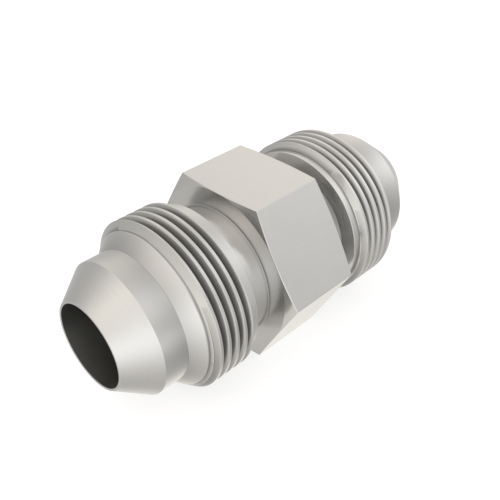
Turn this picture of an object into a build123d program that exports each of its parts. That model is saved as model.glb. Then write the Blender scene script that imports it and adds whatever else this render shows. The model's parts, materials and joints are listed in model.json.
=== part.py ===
from build123d import *
import math
import os

# Flared tube union: one piece turned from hexagon bar, with a flare cone and a male thread at each end.
# Its axis is X, the hexagon is at the middle of the length, and the origin is on the axis there.
# Two flats of the hexagon are level, so the union lies on the lower one. All sizes are millimetres.

# Hexagon that the wrench holds, with its corners turned off by a shallow cone at each face
hex_across_flats = 27.0
hex_width = 13.0
hex_chamfer_angle = 12.0
hex_face_diameter = 27.0

# Bore from end to end
bore_diameter = 13.0

# Relieved neck beside the hexagon, the shoulder that ends it, and the land where the thread runs out
neck_diameter = 20.8
neck_length = 3.5
neck_fillet_radius = 0.3
shoulder_angle = 70.0
run_out_land_diameter = 24.9
run_out_land_length = 1.25

# Thread, 27 by 1.5 metric, right hand at both ends, its length measured over the crests
thread_diameter = 27.0
thread_pitch = 1.5
thread_flank_angle = 60.0
thread_depth = 0.88
thread_root_flat = 0.06
thread_length = 6.3
thread_phase_angle = 135.0

# Lead-in of the thread, the smooth nose, and the flare cone with its narrow rim round the bore
lead_land_diameter = 24.5
lead_land_length = 0.36
lead_chamfer_angle = 45.0
nose_diameter = 20.8
nose_length = 3.85
flare_angle = 37.0
rim_width = 0.33

# How far the groove's cutting form stands out of the crests
cutter_stand_out = 0.15


def cone_length(diameter_a, diameter_b, angle_from_axis):
    """Length along the axis of a cone between two diameters."""
    return abs(diameter_a - diameter_b) / 2 / math.tan(math.radians(angle_from_axis))


def end_outline():
    """Points (distance from the middle, radius) of one end, from the hexagon's face out to the rim."""
    rim_diameter = bore_diameter + 2 * rim_width
    steps = [
        (hex_width / 2, neck_diameter),
        (neck_length, neck_diameter),
        (cone_length(neck_diameter, run_out_land_diameter, shoulder_angle), run_out_land_diameter),
        (run_out_land_length, run_out_land_diameter),
        (cone_length(run_out_land_diameter, thread_diameter, thread_flank_angle), thread_diameter),
        (thread_length, thread_diameter),
        (cone_length(thread_diameter, lead_land_diameter, thread_flank_angle), lead_land_diameter),
        (lead_land_length, lead_land_diameter),
        (cone_length(lead_land_diameter, nose_diameter, lead_chamfer_angle), nose_diameter),
        (nose_length, nose_diameter),
        (cone_length(nose_diameter, rim_diameter, flare_angle), rim_diameter),
    ]
    place = 0.0
    outline = []
    for step, diameter in steps:
        place += step
        outline.append((place, diameter / 2))
    return outline


def half_length():
    """Distance from the middle of the union to its rim."""
    return end_outline()[-1][0]


def thread_middle():
    """Distance from the middle of the union to the middle of the threaded length."""
    crest_places = [place for place, radius in end_outline() if radius == thread_diameter / 2]
    return (min(crest_places) + max(crest_places)) / 2


def turned(points):
    """Solid turned about the X axis from points (place along the axis, radius)."""
    first, last = points[0][0], points[-1][0]
    section = make_face(Polyline([(first, 0)] + points + [(last, 0)], close=True))
    return revolve(section, Axis.X)


def turned_blank():
    """Both ends in one turning, plain where the threads will be, mirrored about the middle."""
    outward = end_outline()
    inward = [(-place, radius) for place, radius in reversed(outward)]
    return turned(inward + outward)


def hexagon():
    """Hexagon prism across the axis, cut by the turned cones that take off its corners."""
    half = hex_width / 2
    face_radius = hex_face_diameter / 2
    outside = hex_across_flats
    fall = (outside - face_radius) * math.tan(math.radians(hex_chamfer_angle))
    envelope = turned([(-half, face_radius), (fall - half, outside), (half - fall, outside), (half, face_radius)])
    prism = extrude(Plane.YZ * RegularPolygon(hex_across_flats / 2, 6, major_radius=False), half, both=True)
    return prism & envelope


def groove_turn():
    """One turn of the cutting form: a V with a narrow flat root, on a right-hand helix about Z."""
    crest = thread_diameter / 2
    root = crest - thread_depth
    outside = crest + cutter_stand_out
    root_half = thread_root_flat / 2
    outside_half = root_half + (outside - root) * math.tan(math.radians(thread_flank_angle / 2))
    corners = [(root, -root_half), (outside, -outside_half), (outside, outside_half), (root, root_half)]
    section = make_face(Polyline(corners, close=True))
    return sweep(Plane.XZ * section, Helix(thread_pitch, thread_pitch, root), is_frenet=True)


def thread_cutters(side):
    """Turns of the groove end to end along one thread, a crest at its middle at the phase angle."""
    turns_each_way = math.ceil((thread_length / 2 + thread_depth) / thread_pitch) + 1
    start = side * thread_middle() + (0.5 - turns_each_way) * thread_pitch
    turn = groove_turn()
    places = [start + count * thread_pitch for count in range(2 * turns_each_way)]
    return [Plane.YZ * Pos(0, 0, place) * Rot(0, 0, thread_phase_angle) * turn for place in places]


def neck_corners(body):
    """Circular edges where the necks meet the faces of the hexagon."""
    return [
        edge
        for edge in body.edges().filter_by(GeomType.CIRCLE)
        if math.isclose(edge.radius, neck_diameter / 2, abs_tol=1e-6)
        and math.isclose(abs(edge.arc_center.X), hex_width / 2, abs_tol=1e-6)
    ]


def union_body():
    """The whole union: hexagon and turned ends, with filleted necks, bored and threaded."""
    body = hexagon() + turned_blank()
    body = fillet(neck_corners(body), neck_fillet_radius)
    body -= extrude(Plane.YZ * Circle(bore_diameter / 2), 2 * half_length(), both=True)
    for side in (-1, 1):
        for cutter in thread_cutters(side):
            body -= cutter
    return body


os.makedirs("parts", exist_ok=True)
export_step(union_body(), "parts/union_body.step")
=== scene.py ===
import json
import math

import bpy
import numpy as np
from mathutils import Matrix, Vector


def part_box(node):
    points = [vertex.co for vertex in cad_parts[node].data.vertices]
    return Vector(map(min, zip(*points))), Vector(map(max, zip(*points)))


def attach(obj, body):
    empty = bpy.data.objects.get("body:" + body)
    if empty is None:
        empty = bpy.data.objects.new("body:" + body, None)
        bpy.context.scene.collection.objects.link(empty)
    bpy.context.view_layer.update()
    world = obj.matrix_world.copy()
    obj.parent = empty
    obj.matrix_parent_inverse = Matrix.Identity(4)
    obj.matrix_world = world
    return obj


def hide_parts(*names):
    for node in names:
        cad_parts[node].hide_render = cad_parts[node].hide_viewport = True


# A flared tube union of bare turned steel, lying on one flat of its hexagon. All sizes are metres.
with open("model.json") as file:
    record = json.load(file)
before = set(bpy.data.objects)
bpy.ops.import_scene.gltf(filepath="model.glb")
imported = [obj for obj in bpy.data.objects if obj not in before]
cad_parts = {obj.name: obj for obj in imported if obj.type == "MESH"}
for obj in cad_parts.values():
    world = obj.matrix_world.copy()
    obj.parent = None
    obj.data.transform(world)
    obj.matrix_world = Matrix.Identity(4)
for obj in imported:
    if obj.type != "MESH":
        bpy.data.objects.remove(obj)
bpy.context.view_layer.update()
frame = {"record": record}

mm = 0.001

# Sizes that the frame gives
low_corner, high_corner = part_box("union_body")
mounts = {mount["name"]: mount for mount in frame["record"]["mounts"]}
half_length = high_corner.x
flat_radius = high_corner.z
floor_height = low_corner.z
bore_radius = mounts["bore"]["dims"]["r_mm"] * mm
crest_radius = mounts["thread_plus_x"]["dims"]["r_mm"] * mm
crest_length = mounts["thread_plus_x"]["dims"]["length_mm"] * mm
thread_middle = mounts["thread_plus_x"]["pos_m"][0]
nose_radius = mounts["flare_seat_plus_x"]["dims"]["r_mm"] * mm
cone_start = mounts["flare_seat_plus_x"]["pos_m"][0]

# Hexagon, its corners turned off by a shallow cone at each face
hex_half_width = 6.5 * mm
hex_chamfer_angle = math.radians(12)
hex_face_radius = 13.5 * mm
hex_corner_rounding = 0.12 * mm
hex_edge_rounding = 0.12 * mm

# Neck, shoulder and run-out land between the hexagon and the thread
neck_radius = 10.4 * mm
neck_fillet = 0.3 * mm
neck_length = 3.5 * mm
run_out_land_radius = 12.45 * mm
run_out_land_length = 1.25 * mm

# Thread, and the land, chamfer and rim outside it
thread_pitch = 1.5 * mm
thread_depth = 0.88 * mm
thread_root_flat = 0.06 * mm
thread_phase = math.radians(135)
flank_slope = math.tan(math.radians(60))
lead_land_radius = 12.25 * mm
lead_land_length = 0.36 * mm
rim_width = 0.33 * mm

# Broken edges, as turning and tumbling leave them
edge_rounding = 0.1 * mm
rim_rounding = 0.07 * mm
crest_rounding = 0.05 * mm
root_rounding = 0.05 * mm

# Fineness of the mesh, the turn at which two surfaces part sharply, and the gap that counts as none
rows_around = 240
arc_steps = 3
thread_arc_steps = 2
crease_angle = math.radians(38)
no_gap = 0.0005 * mm

# Finish of the metal: colour, the spread of its shade from dark to light, and roughness
steel_colour = (0.565, 0.56, 0.55)
steel_shades = (0.97, 1.03)
steel_roughness = 0.18
steel_gloss_change = 0.06
# The bore's colour is darker than the steel's: painted shade for the shadow inside the bore.
bore_painted_shade_colour = (0.31, 0.31, 0.30)
bore_shades = (0.9, 1.1)
bore_roughnesses = (0.36, 0.46)

# Tool marks and clouds, in waves a metre, and how far the lines are drawn out along the flats
ring_waves = 5000
line_waves = 7000
line_stretch = 0.02
cloud_waves = 260
mark_detail = 2
cloud_detail = 3
noise_roughness = 0.55
mark_depth = 0.0012 * mm

# Wear and painted light: outer edges smoother, and brighter from wear and a painted highlight; inner
# corners and the thread's feet rougher, and darker with painted shade; thread roots duller, and darker with
# painted shade
edge_wear_and_highlight = 1.1
edge_smoothness = 0.05
corner_painted_shade = 0.52
corner_end_wear = -0.4
corner_shade_reach = 0.6 * mm
foot_shade_reach = 0.3 * mm
root_painted_shade = 0.5
root_dullness = 0.1

# Floor: how much light it scatters, and its own light that brings it up to white
floor_half_width = 1.5
floor_albedo = 0.4
floor_own_light = 0.72

# Studio: the plain light of the room, and soft panels, each set for the faces that mirror it to the
# camera: azimuth (0 from -Y, 90 from +X), elevation and half-width in degrees, and strength. The
# panels behind the union are a little warmer.
room_light = 0.6
panels = [
    (130, 25, 25, 0.55),  # upper flat
    (60, 30, 25, 0.8),  # front flat and the noses
    (-40, 0, 30, 0.85),  # cone and turned faces
    (10, -10, 15, 0.6),  # streak on the nose
    (-90, 60, 35, 0.75),  # cone's upper side
    (-90, -30, 30, 0.5),  # cone's lower side
    (120, -60, 20, 0.5),  # lower flat at the right
]
room_tint = (1.015, 1.0, 0.975)
front_tint = (1.0, 1.0, 1.005)
back_tint = (1.06, 1.0, 0.9)

# Camera: the photograph's viewing angle and distance
camera_place = Vector((-62.014, -64.190, 64.257)) * mm
camera_azimuth = math.radians(-44.02)
camera_elevation = math.radians(35.75)
camera_roll = math.radians(-1.545)
camera_lens = 50


def rounded(corners, steps):
    """Points (place, radius, wear) of a line through corners (place, radius, rounding). Each corner
    with a rounding becomes an arc that touches both sides: its ends lie rounding * tan(turn / 2) back
    from the corner. On an outer edge wear is 0 at the arc's ends and 1 at its middle, for wear and a
    painted highlight.
    In an inner corner it is corner_end_wear at the ends and -1 at the middle, for painted shade."""
    points = []
    for index, (place, radius, rounding) in enumerate(corners):
        corner = np.array([place, radius])
        if rounding == 0:
            points.append((place, radius, 0))
            continue
        before = np.array(corners[index - 1][:2]) - corner
        after = np.array(corners[index + 1][:2]) - corner
        before /= np.linalg.norm(before)
        after /= np.linalg.norm(after)
        turn = math.pi - math.acos(float(np.clip(before @ after, -1, 1)))
        outer_edge = before[0] * after[1] > before[1] * after[0]
        reach = rounding * math.tan(turn / 2)
        inward = (before + after) / np.linalg.norm(before + after)
        centre = corner + inward * rounding / math.cos(turn / 2)
        start = corner + before * reach - centre
        end = corner + after * reach - centre
        for share in np.linspace(0, 1, steps + 1):
            start_weight = math.sin((1 - share) * turn) / math.sin(turn)
            end_weight = math.sin(share * turn) / math.sin(turn)
            on_arc = centre + start_weight * start + end_weight * end
            bulge = math.sin(math.pi * share)
            corner_wear = corner_end_wear - (1 + corner_end_wear) * bulge
            points.append((*on_arc, bulge if outer_edge else corner_wear))
    return np.array(points)


def corner_touch_angle():
    """Angle at the axis between a hexagon corner and the place where its rounding meets the flat."""
    along_flat = (flat_radius - hex_corner_rounding) * math.tan(math.pi / 6)
    return math.pi / 6 - math.atan(along_flat / flat_radius)


def angles_around():
    """Angles from +Y towards +Z: even steps, and four more at each corner of the hexagon, where its
    rounding meets the flats and half-way there."""
    even = np.arange(rows_around) * 2 * math.pi / rows_around
    touch = corner_touch_angle()
    beside = np.array([-touch, -touch / 2, touch / 2, touch])
    extra = (np.arange(6)[:, None] * math.pi / 3 + beside) % (2 * math.pi)
    return np.sort(np.concatenate([even, extra.ravel()]))


def hexagon_section(angle):
    """Radius of the hexagon and its lean, which is the radius's change with angle over the radius.
    On a flat they are flat_radius / cos(a) and tan(a), with a from the flat's normal. On a corner's
    circle they are c cos(b) + s and -c sin(b) / s, with b from the corner, c the distance of the
    circle's centre, and s = sqrt(rounding^2 - c^2 sin^2(b))."""
    from_corner = (angle + math.pi / 6) % (math.pi / 3) - math.pi / 6
    from_normal = from_corner - np.copysign(math.pi / 6, from_corner)
    centre = (flat_radius - hex_corner_rounding) / math.cos(math.pi / 6)
    square = hex_corner_rounding**2 - (centre * np.sin(from_corner)) ** 2
    root = np.sqrt(np.maximum(square, no_gap**2))
    on_corner = np.abs(from_corner) < corner_touch_angle() * 0.999
    radius = np.where(on_corner, centre * np.cos(from_corner) + root, flat_radius / np.cos(from_normal))
    lean = np.where(on_corner, -centre * np.sin(from_corner) / root, np.tan(from_normal))
    return radius, lean


def hexagon_columns(angle):
    """Columns from the end of the flat over its edge and down the chamfer cone to the turned face.
    The edge is a parabola whose middle control point is the corner of flat and cone."""
    outer, lean = (values[:, None] for values in hexagon_section(angle))
    corner_place = hex_half_width - (outer - hex_face_radius) * math.tan(hex_chamfer_angle)
    share = np.linspace(0, 1, arc_steps + 1)
    flat_weight, corner_weight, cone_weight = (1 - share) ** 2, 2 * share * (1 - share), share**2
    cone_place = corner_place + hex_edge_rounding * math.sin(hex_chamfer_angle)
    cone_place = np.minimum(cone_place, hex_half_width)
    cone_radius = outer - hex_edge_rounding * math.cos(hex_chamfer_angle)
    edge_place = (flat_weight * (corner_place - hex_edge_rounding)
                  + corner_weight * corner_place + cone_weight * cone_place)
    edge_radius = (1 - cone_weight) * outer + cone_weight * cone_radius
    face_place = np.full_like(outer, hex_half_width)
    face_radius = np.minimum(cone_radius, hex_face_radius)
    places = np.hstack([edge_place, face_place])
    leans = np.hstack([lean * (1 - share), np.zeros_like(outer)])
    radii = np.hstack([edge_radius, face_radius])
    wear = np.broadcast_to(np.append(np.sin(math.pi * share), 0), places.shape)
    drawn = np.broadcast_to(np.append(1 - share, 0), places.shape)
    return np.stack([places, radii, leans, wear, np.zeros_like(places), drawn], axis=2)


def plain_columns(angle, corners):
    """Columns of a turned part: the same rounded line at every angle."""
    place, radius, wear = rounded(corners, arc_steps).T
    none = np.zeros_like(place)
    line = np.stack([place, radius, none, wear, none, none], axis=1)
    return np.broadcast_to(line, (len(angle), *line.shape))


def groove_outline():
    """One pitch of the thread from the middle of a crest: V groove, its crest edges and root rounded."""
    half_mouth = thread_root_flat / 2 + thread_depth / flank_slope
    half_root = thread_root_flat / 2
    middle = thread_pitch / 2
    root_radius = crest_radius - thread_depth
    corners = [
        (0, crest_radius, 0),
        (middle - half_mouth, crest_radius, crest_rounding),
        (middle - half_root, root_radius, root_rounding),
        (middle + half_root, root_radius, root_rounding),
        (middle + half_mouth, crest_radius, crest_rounding),
        (thread_pitch, crest_radius, 0),
    ]
    return rounded(corners, thread_arc_steps)


def thread_columns(angle, side):
    """Columns across one thread. A point's radius is the lower of the plain blank, with its two
    sloping ends, and the groove, whose outline moves one pitch along +X in each turn. The columns are
    the corners of both and the places where their slopes cross, put in order at each angle. The feet
    of the sloping ends are inner corners, so their wear is -1, which paints shade there."""
    start = thread_middle - crest_length / 2
    end = thread_middle + crest_length / 2
    foot_before = start - (crest_radius - run_out_land_radius) / flank_slope
    foot_after = end + (crest_radius - lead_land_radius) / flank_slope
    blank_places = [foot_before, start, end, foot_after]
    blank_radii = [run_out_land_radius, crest_radius, crest_radius, lead_land_radius]

    groove = groove_outline()
    turns = math.ceil((foot_after - foot_before) / thread_pitch / 2) + 2
    whole = np.arange(-turns, turns + 1) * thread_pitch
    advance = side * thread_pitch * (angle[:, None] - thread_phase) / (2 * math.pi)
    repeats = (thread_middle + whole[:, None] + groove[1:-1, 0]).ravel()

    root_middles = thread_middle + whole + thread_pitch / 2 + advance
    half_climb = (thread_depth / flank_slope + thread_root_flat / 2) / 2
    crossing_before = np.clip((start + root_middles) / 2 - half_climb, foot_before, start)
    crossing_after = np.clip((end + root_middles) / 2 + half_climb, end, foot_after)

    fixed = np.tile(blank_places, (len(angle), 1))
    places = np.hstack([fixed, advance + repeats, crossing_before, crossing_after])
    places = np.sort(np.clip(places, foot_before, foot_after), axis=1)
    from_crest = (places - thread_middle - advance) % thread_pitch
    blank = np.interp(places, blank_places, blank_radii)
    radii = np.minimum(blank, np.interp(from_crest, groove[:, 0], groove[:, 1]))
    depth = (blank - radii) / thread_depth
    wear = np.where(depth > 0, np.interp(from_crest, groove[:, 0], groove[:, 2]), 0)
    wear[:, [0, -1]] = -1
    none = np.zeros_like(places)
    return np.stack([places, radii, none, wear, depth, none], axis=2)


def half_columns(angle, side):
    """All columns of one half, from the hexagon's flat out to the rim and back to the bore's middle.
    Each point has place, radius, lean, wear, depth in the groove, and whether the surface is drawn
    bar. Also the column of the circle where the chamfer cone meets the turned face."""
    thread = thread_columns(angle, side)
    foot_before, foot_after = thread[0, 0, 0], thread[0, -1, 0]
    chamfer_start = foot_after + lead_land_length
    neck_corners = [
        (hex_half_width, hex_face_radius, 0),
        (hex_half_width, neck_radius + corner_shade_reach, 0),
        (hex_half_width, neck_radius, neck_fillet),
        (hex_half_width + corner_shade_reach, neck_radius, 0),
        (hex_half_width + neck_length - corner_shade_reach, neck_radius, 0),
        (hex_half_width + neck_length, neck_radius, edge_rounding),
        (foot_before - run_out_land_length, run_out_land_radius, edge_rounding),
        (foot_before - foot_shade_reach, run_out_land_radius, 0),
        (foot_before, run_out_land_radius, 0),
    ]
    nose_corners = [
        (foot_after, lead_land_radius, 0),
        (chamfer_start, lead_land_radius, edge_rounding),
        (chamfer_start + lead_land_radius - nose_radius, nose_radius, edge_rounding),
        (cone_start, nose_radius, edge_rounding),
        (half_length, bore_radius + rim_width, rim_rounding),
        (half_length, bore_radius, rim_rounding),
        (0, bore_radius, 0),
    ]
    hexagon = hexagon_columns(angle)
    neck = plain_columns(angle, neck_corners)[:, 1:-1]
    nose = plain_columns(angle, nose_corners)[:, 1:]
    columns = np.concatenate([hexagon, neck, thread, nose], axis=1)
    columns[:, :, 0] *= side
    return columns, hexagon.shape[1] - 1


def side_normals(place, radius, crease):
    """Normals (along the axis, away from it) at each column for the strip before it and the strip
    after it. A strip's normal is square to it. Where two strips turn by less than the crease angle,
    both get the mean of the two, weighed by the strips' widths. Strips without width are passed over."""
    step = np.stack([np.roll(place, -1, 1) - place, np.roll(radius, -1, 1) - radius], axis=2)
    width = np.linalg.norm(step, axis=2)
    real = width > no_gap
    normal = np.stack([-step[:, :, 1], step[:, :, 0]], axis=2) / np.maximum(width, no_gap)[:, :, None]
    order = np.broadcast_to(np.arange(place.shape[1]), place.shape)
    last_real = np.maximum.accumulate(np.where(real, order, -1), axis=1)
    next_real = np.minimum.accumulate(np.where(real, order, order.size)[:, ::-1], axis=1)[:, ::-1]
    before_index = np.roll(last_real, 1, 1)
    rows = np.arange(len(place))[:, None]
    before, after = normal[rows, before_index], normal[rows, next_real]
    before_width = width[rows, before_index][:, :, None]
    after_width = width[rows, next_real][:, :, None]
    mean = before * before_width + after * after_width
    mean /= np.maximum(np.linalg.norm(mean, axis=2, keepdims=True), 1e-12)
    smooth = (before * after).sum(2) > math.cos(crease_angle)
    smooth = (smooth & ~crease)[:, :, None]
    return np.where(smooth, mean, before), np.where(smooth, mean, after)


def in_space(normal, lean, angle):
    """Unit normals in X, Y, Z from (along, away) ones: the part round the axis is -lean * away."""
    along, away = normal[:, :, 0], normal[:, :, 1]
    aside = -lean * away
    cos, sin = np.cos(angle)[:, None], np.sin(angle)[:, None]
    full = np.stack([along, away * cos - aside * sin, away * sin + aside * cos], axis=2)
    return full / np.linalg.norm(full, axis=2, keepdims=True)


def union_mesh():
    """The whole union as one closed grid. Rows go round the axis, the last one a full turn after the
    first, and columns go round the section, from the bore's middle over one end, the hexagon and the
    other end, and back. A point is (place, radius cos(angle), radius sin(angle)). Neighbours in a row
    that fall together are one point, so their faces lose a corner or go. The last row has the same
    points as the first in the same order, but in other columns, as the thread has moved on a pitch."""
    angle = np.append(angles_around(), 2 * math.pi)
    near, face_circle = half_columns(angle, -1)
    far, face_circle = half_columns(angle, 1)
    columns = np.concatenate([near[:, ::-1], far[:, :-1]], axis=1)
    place, radius, lean, wear, depth, drawn = np.moveaxis(columns, 2, 0)
    crease = np.zeros(place.shape[1], dtype=bool)
    crease[near.shape[1] - 1 - face_circle] = True
    crease[near.shape[1] + face_circle] = True
    normal_before, normal_after = side_normals(place, radius, crease)
    normal_before = in_space(normal_before, lean, angle)
    normal_after = in_space(normal_after, lean, angle)
    points = np.stack([place, radius * np.cos(angle)[:, None], radius * np.sin(angle)[:, None]], axis=2)

    apart = np.hypot(place - np.roll(place, 1, 1), radius - np.roll(radius, 1, 1)) > no_gap
    apart[:, 0] = True
    number = np.cumsum(apart).reshape(apart.shape) - 1
    point_count = number[-1, 0]
    number[-1] -= point_count
    assert number[-1, -1] == number[0, -1], "the last row must have the points of the first"
    apart = apart[:-1]

    def four_corners(at_column, at_next_column):
        """Values at a face's corners: this row and the next at a column, then back at the next one."""
        beyond = np.roll(at_next_column, -1, axis=1)
        return np.stack([at_column[:-1], at_column[1:], beyond[1:], beyond[:-1]], axis=2)

    corner_number = four_corners(number, number)
    corner_normal = four_corners(normal_after, normal_before)
    kept = corner_number != np.roll(corner_number, 1, axis=2)
    kept &= (kept.sum(axis=2) >= 3)[:, :, None]
    in_bore = np.maximum(radius, np.roll(radius, -1, 1))[:-1] < bore_radius + rim_rounding / 2
    face_size = kept.sum(axis=2)
    real_face = face_size > 0

    mesh = bpy.data.meshes.new("turned_union")
    mesh.vertices.add(int(point_count))
    mesh.vertices.foreach_set("co", points[:-1][apart].ravel())
    mesh.loops.add(int(kept.sum()))
    mesh.loops.foreach_set("vertex_index", corner_number[kept])
    mesh.polygons.add(int(real_face.sum()))
    sizes = face_size[real_face]
    mesh.polygons.foreach_set("loop_start", np.cumsum(sizes) - sizes)
    mesh.polygons.foreach_set("material_index", in_bore[real_face].astype(np.int32))
    mesh.update(calc_edges=True)
    for name, values in (("wear", wear), ("groove_depth", depth), ("drawn", drawn)):
        attribute = mesh.attributes.new(name, "FLOAT", "POINT")
        attribute.data.foreach_set("value", values[:-1][apart])
    mesh.normals_split_custom_set(corner_normal[kept])
    return mesh


def add_node(tree, kind, inputs=None, **settings):
    """One node of a material or world, its inputs given as values or as sockets to link from."""
    node = tree.nodes.new(kind)
    for name, value in settings.items():
        setattr(node, name, value)
    for key, value in (inputs or {}).items():
        if isinstance(value, bpy.types.NodeSocket):
            tree.links.new(value, node.inputs[key])
        else:
            node.inputs[key].default_value = value
    return node


def add_math(tree, operation, first, second=0.0):
    """Output of a Math node."""
    return add_node(tree, "ShaderNodeMath", {0: first, 1: second}, operation=operation).outputs[0]


def add_mix(tree, share, low, high):
    """Output of a mix from the low value to the high one by share."""
    spread = add_math(tree, "MULTIPLY", share, high - low)
    return add_math(tree, "ADD", spread, low)


def add_noise(tree, vector, waves, detail):
    """Noise between about 0 and 1, in waves a metre."""
    settings = {"Vector": vector, "Scale": waves, "Detail": detail, "Roughness": noise_roughness}
    return add_node(tree, "ShaderNodeTexNoise", settings).outputs["Fac"]


def add_attribute(tree, name):
    """Output of one of the mesh's own attributes."""
    return add_node(tree, "ShaderNodeAttribute", attribute_name=name).outputs["Fac"]


def add_scaled(tree, vector, scale):
    """Output of a vector or colour times a number."""
    return add_node(tree, "ShaderNodeVectorMath", {0: vector, "Scale": scale}, operation="SCALE").outputs[0]


def add_marks(tree, height, depth):
    """Normal of a surface with marks of a height between 0 and 1 and of a depth in metres."""
    settings = {"Strength": 1.0, "Distance": depth, "Height": height}
    return add_node(tree, "ShaderNodeBump", settings).outputs[0]


def add_metal(name):
    """A new material, its node tree, and its shader set to bare metal."""
    material = bpy.data.materials.new(name)
    material.use_nodes = True
    shader = material.node_tree.nodes["Principled BSDF"]
    shader.inputs["Metallic"].default_value = 1.0
    return material, material.node_tree, shader


def turned_place(tree):
    """Vector (place along the axis, distance from it, 0), the same all round, and the Object
    coordinates that it comes from."""
    place = add_node(tree, "ShaderNodeTexCoord").outputs["Object"]
    parts = add_node(tree, "ShaderNodeSeparateXYZ", {0: place})
    square = add_math(tree, "ADD", add_math(tree, "MULTIPLY", parts.outputs["Y"], parts.outputs["Y"]),
                      add_math(tree, "MULTIPLY", parts.outputs["Z"], parts.outputs["Z"]))
    distance = add_math(tree, "SQRT", square)
    joined = {"X": parts.outputs["X"], "Y": distance, "Z": 0.0}
    return add_node(tree, "ShaderNodeCombineXYZ", joined).outputs[0], place


def turned_steel():
    """Bare steel: rings left by the turning tool, lengthwise lines on the drawn flats of the hexagon,
    slight changes of tint and gloss, outer edges brighter from wear and a painted highlight, and inner
    corners and thread roots darker with painted shade."""
    material, tree, shader = add_metal("turned_steel")
    ring_place, place = turned_place(tree)
    drawn = add_attribute(tree, "drawn")
    wear = add_attribute(tree, "wear")
    depth = add_attribute(tree, "groove_depth")

    rings = add_noise(tree, ring_place, ring_waves, mark_detail)
    stretched = add_node(tree, "ShaderNodeMapping", {"Vector": place, "Scale": (line_stretch, 1, 1)})
    lines = add_noise(tree, stretched.outputs[0], line_waves, mark_detail)
    marks = add_node(tree, "ShaderNodeMix", {"Factor": drawn, "A": rings, "B": lines}).outputs["Result"]
    cloud = add_noise(tree, place, cloud_waves, cloud_detail)

    gloss_change = add_math(tree, "MULTIPLY", add_math(tree, "SUBTRACT", cloud, 0.5), steel_gloss_change)
    roughness = add_math(tree, "ADD", gloss_change, steel_roughness)
    roughness = add_math(tree, "SUBTRACT", roughness, add_math(tree, "MULTIPLY", wear, edge_smoothness))
    roughness = add_math(tree, "ADD", roughness, add_math(tree, "MULTIPLY", depth, root_dullness))

    # Lighter on outer edges: partly wear, partly a painted highlight.
    edge = add_math(tree, "MAXIMUM", wear, 0.0)
    # Darker in inner corners and at the thread's feet: painted shade.
    corner = add_math(tree, "MAXIMUM", add_math(tree, "MULTIPLY", wear, -1.0), 0.0)
    shade = add_mix(tree, cloud, *steel_shades)
    for share, low, high in (
        (marks, *steel_shades),
        (edge, 1.0, edge_wear_and_highlight),
        (corner, 1.0, corner_painted_shade),
        # Darker towards the thread's roots: painted shade for the shade in the grooves.
        (add_math(tree, "SQRT", depth), 1.0, root_painted_shade),
    ):
        shade = add_math(tree, "MULTIPLY", shade, add_mix(tree, share, low, high))

    tree.links.new(add_scaled(tree, steel_colour, shade), shader.inputs["Base Color"])
    tree.links.new(roughness, shader.inputs["Roughness"])
    tree.links.new(add_marks(tree, marks, mark_depth), shader.inputs["Normal"])
    return material


def drilled_steel_painted_shade():
    """The bore: its colour darker than the outside as painted shade for the shadow inside it, and rougher
    than the outside, with the rings that a drill leaves, which are twice as wide and twice as deep as the
    turned ones."""
    material, tree, shader = add_metal("drilled_steel_painted_shade")
    ring_place, place = turned_place(tree)
    rings = add_noise(tree, ring_place, ring_waves / 2, mark_detail)
    cloud = add_noise(tree, place, cloud_waves, cloud_detail)
    colour = add_scaled(tree, bore_painted_shade_colour, add_mix(tree, cloud, *bore_shades))
    tree.links.new(colour, shader.inputs["Base Color"])
    tree.links.new(add_mix(tree, cloud, *bore_roughnesses), shader.inputs["Roughness"])
    tree.links.new(add_marks(tree, rings, 2 * mark_depth), shader.inputs["Normal"])
    return material


def add_union():
    """The dressed union in place of the plain solid."""
    union = bpy.data.objects.new("turned_union", union_mesh())
    bpy.context.scene.collection.objects.link(union)
    union.data.materials.append(turned_steel())
    union.data.materials.append(drilled_steel_painted_shade())
    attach(union, "root")
    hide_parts("union_body")


def add_floor():
    """A plain white floor under the union. Its own light brings the lit part up to white, and the
    union's soft shadow stays on it. The metal shows the studio's panels in place of the floor."""
    corners = np.array([(-1, -1), (1, -1), (1, 1), (-1, 1)]) * floor_half_width
    mesh = bpy.data.meshes.new("floor")
    mesh.from_pydata([(x, y, floor_height) for x, y in corners.tolist()], [], [(0, 1, 2, 3)])
    floor = bpy.data.objects.new("floor", mesh)
    bpy.context.scene.collection.objects.link(floor)
    material = bpy.data.materials.new("floor_white")
    material.use_nodes = True
    shader = material.node_tree.nodes["Principled BSDF"]
    shader.inputs["Base Color"].default_value = (*[floor_albedo] * 3, 1)
    shader.inputs["Roughness"].default_value = 1.0
    shader.inputs["Specular IOR Level"].default_value = 0.0
    shader.inputs["Emission Color"].default_value = (1, 1, 1, 1)
    shader.inputs["Emission Strength"].default_value = floor_own_light
    mesh.materials.append(material)
    floor.visible_glossy = False


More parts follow.
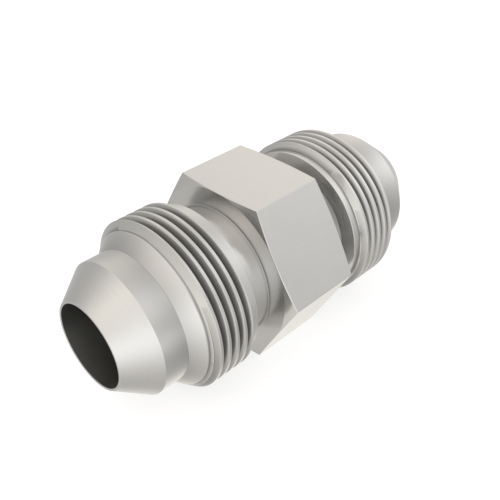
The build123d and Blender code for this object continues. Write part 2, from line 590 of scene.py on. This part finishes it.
def add_studio():
    """The studio's light: a plain light all round, and soft round panels. Each panel is exp(k (cos(a)
    - 1)) bright at the angle a from its middle, with k set so that it is half as bright at its
    half-width. The camera sees plain white."""
    world = bpy.data.worlds.new("studio")
    world.use_nodes = True
    tree = world.node_tree
    direction = add_node(tree, "ShaderNodeTexCoord").outputs["Generated"]
    light = tuple(room_light * part for part in room_tint)
    for azimuth, elevation, half_width, strength in panels:
        tint = back_tint if abs(azimuth) >= 90 else front_tint
        across, up = math.radians(azimuth), math.radians(elevation)
        middle = (math.sin(across) * math.cos(up), -math.cos(across) * math.cos(up), math.sin(up))
        narrowness = math.log(2) / (1 - math.cos(math.radians(half_width)))
        cosine = add_node(tree, "ShaderNodeVectorMath", {0: direction, 1: middle}, operation="DOT_PRODUCT")
        from_middle = add_math(tree, "SUBTRACT", cosine.outputs["Value"], 1.0)
        share = add_math(tree, "EXPONENT", add_math(tree, "MULTIPLY", from_middle, narrowness))
        glow = add_scaled(tree, tuple(strength * part for part in tint), share)
        light = add_node(tree, "ShaderNodeVectorMath", {0: light, 1: glow}, operation="ADD").outputs[0]
    seen = add_node(tree, "ShaderNodeLightPath").outputs["Is Camera Ray"]
    # A colour Mix node keeps its two colours at inputs 6 and 7, and its result at output 2
    colour = add_node(tree, "ShaderNodeMix", {"Factor": seen, 6: light, 7: (1, 1, 1, 1)}, data_type="RGBA")
    tree.links.new(colour.outputs[2], tree.nodes["Background"].inputs["Color"])
    bpy.context.scene.world = world


def add_camera():
    """Camera with its back axis from azimuth and elevation, then rolled about that axis."""
    back = Vector((
        math.sin(camera_azimuth) * math.cos(camera_elevation),
        -math.cos(camera_azimuth) * math.cos(camera_elevation),
        math.sin(camera_elevation),
    ))
    level_right = Vector((0, 0, 1)).cross(back).normalized()
    level_up = back.cross(level_right)
    right = level_right * math.cos(camera_roll) + level_up * math.sin(camera_roll)
    up = back.cross(right)
    camera = bpy.data.cameras.new("camera")
    camera.lens = camera_lens
    camera.clip_start = 1 * mm
    holder = bpy.data.objects.new("camera", camera)
    holder.matrix_world = Matrix.Translation(camera_place) @ Matrix((right, up, back)).transposed().to_4x4()
    bpy.context.scene.collection.objects.link(holder)
    bpy.context.scene.camera = holder


add_union()
add_floor()
add_studio()
add_camera()
bpy.context.scene.view_settings.view_transform = "Standard"
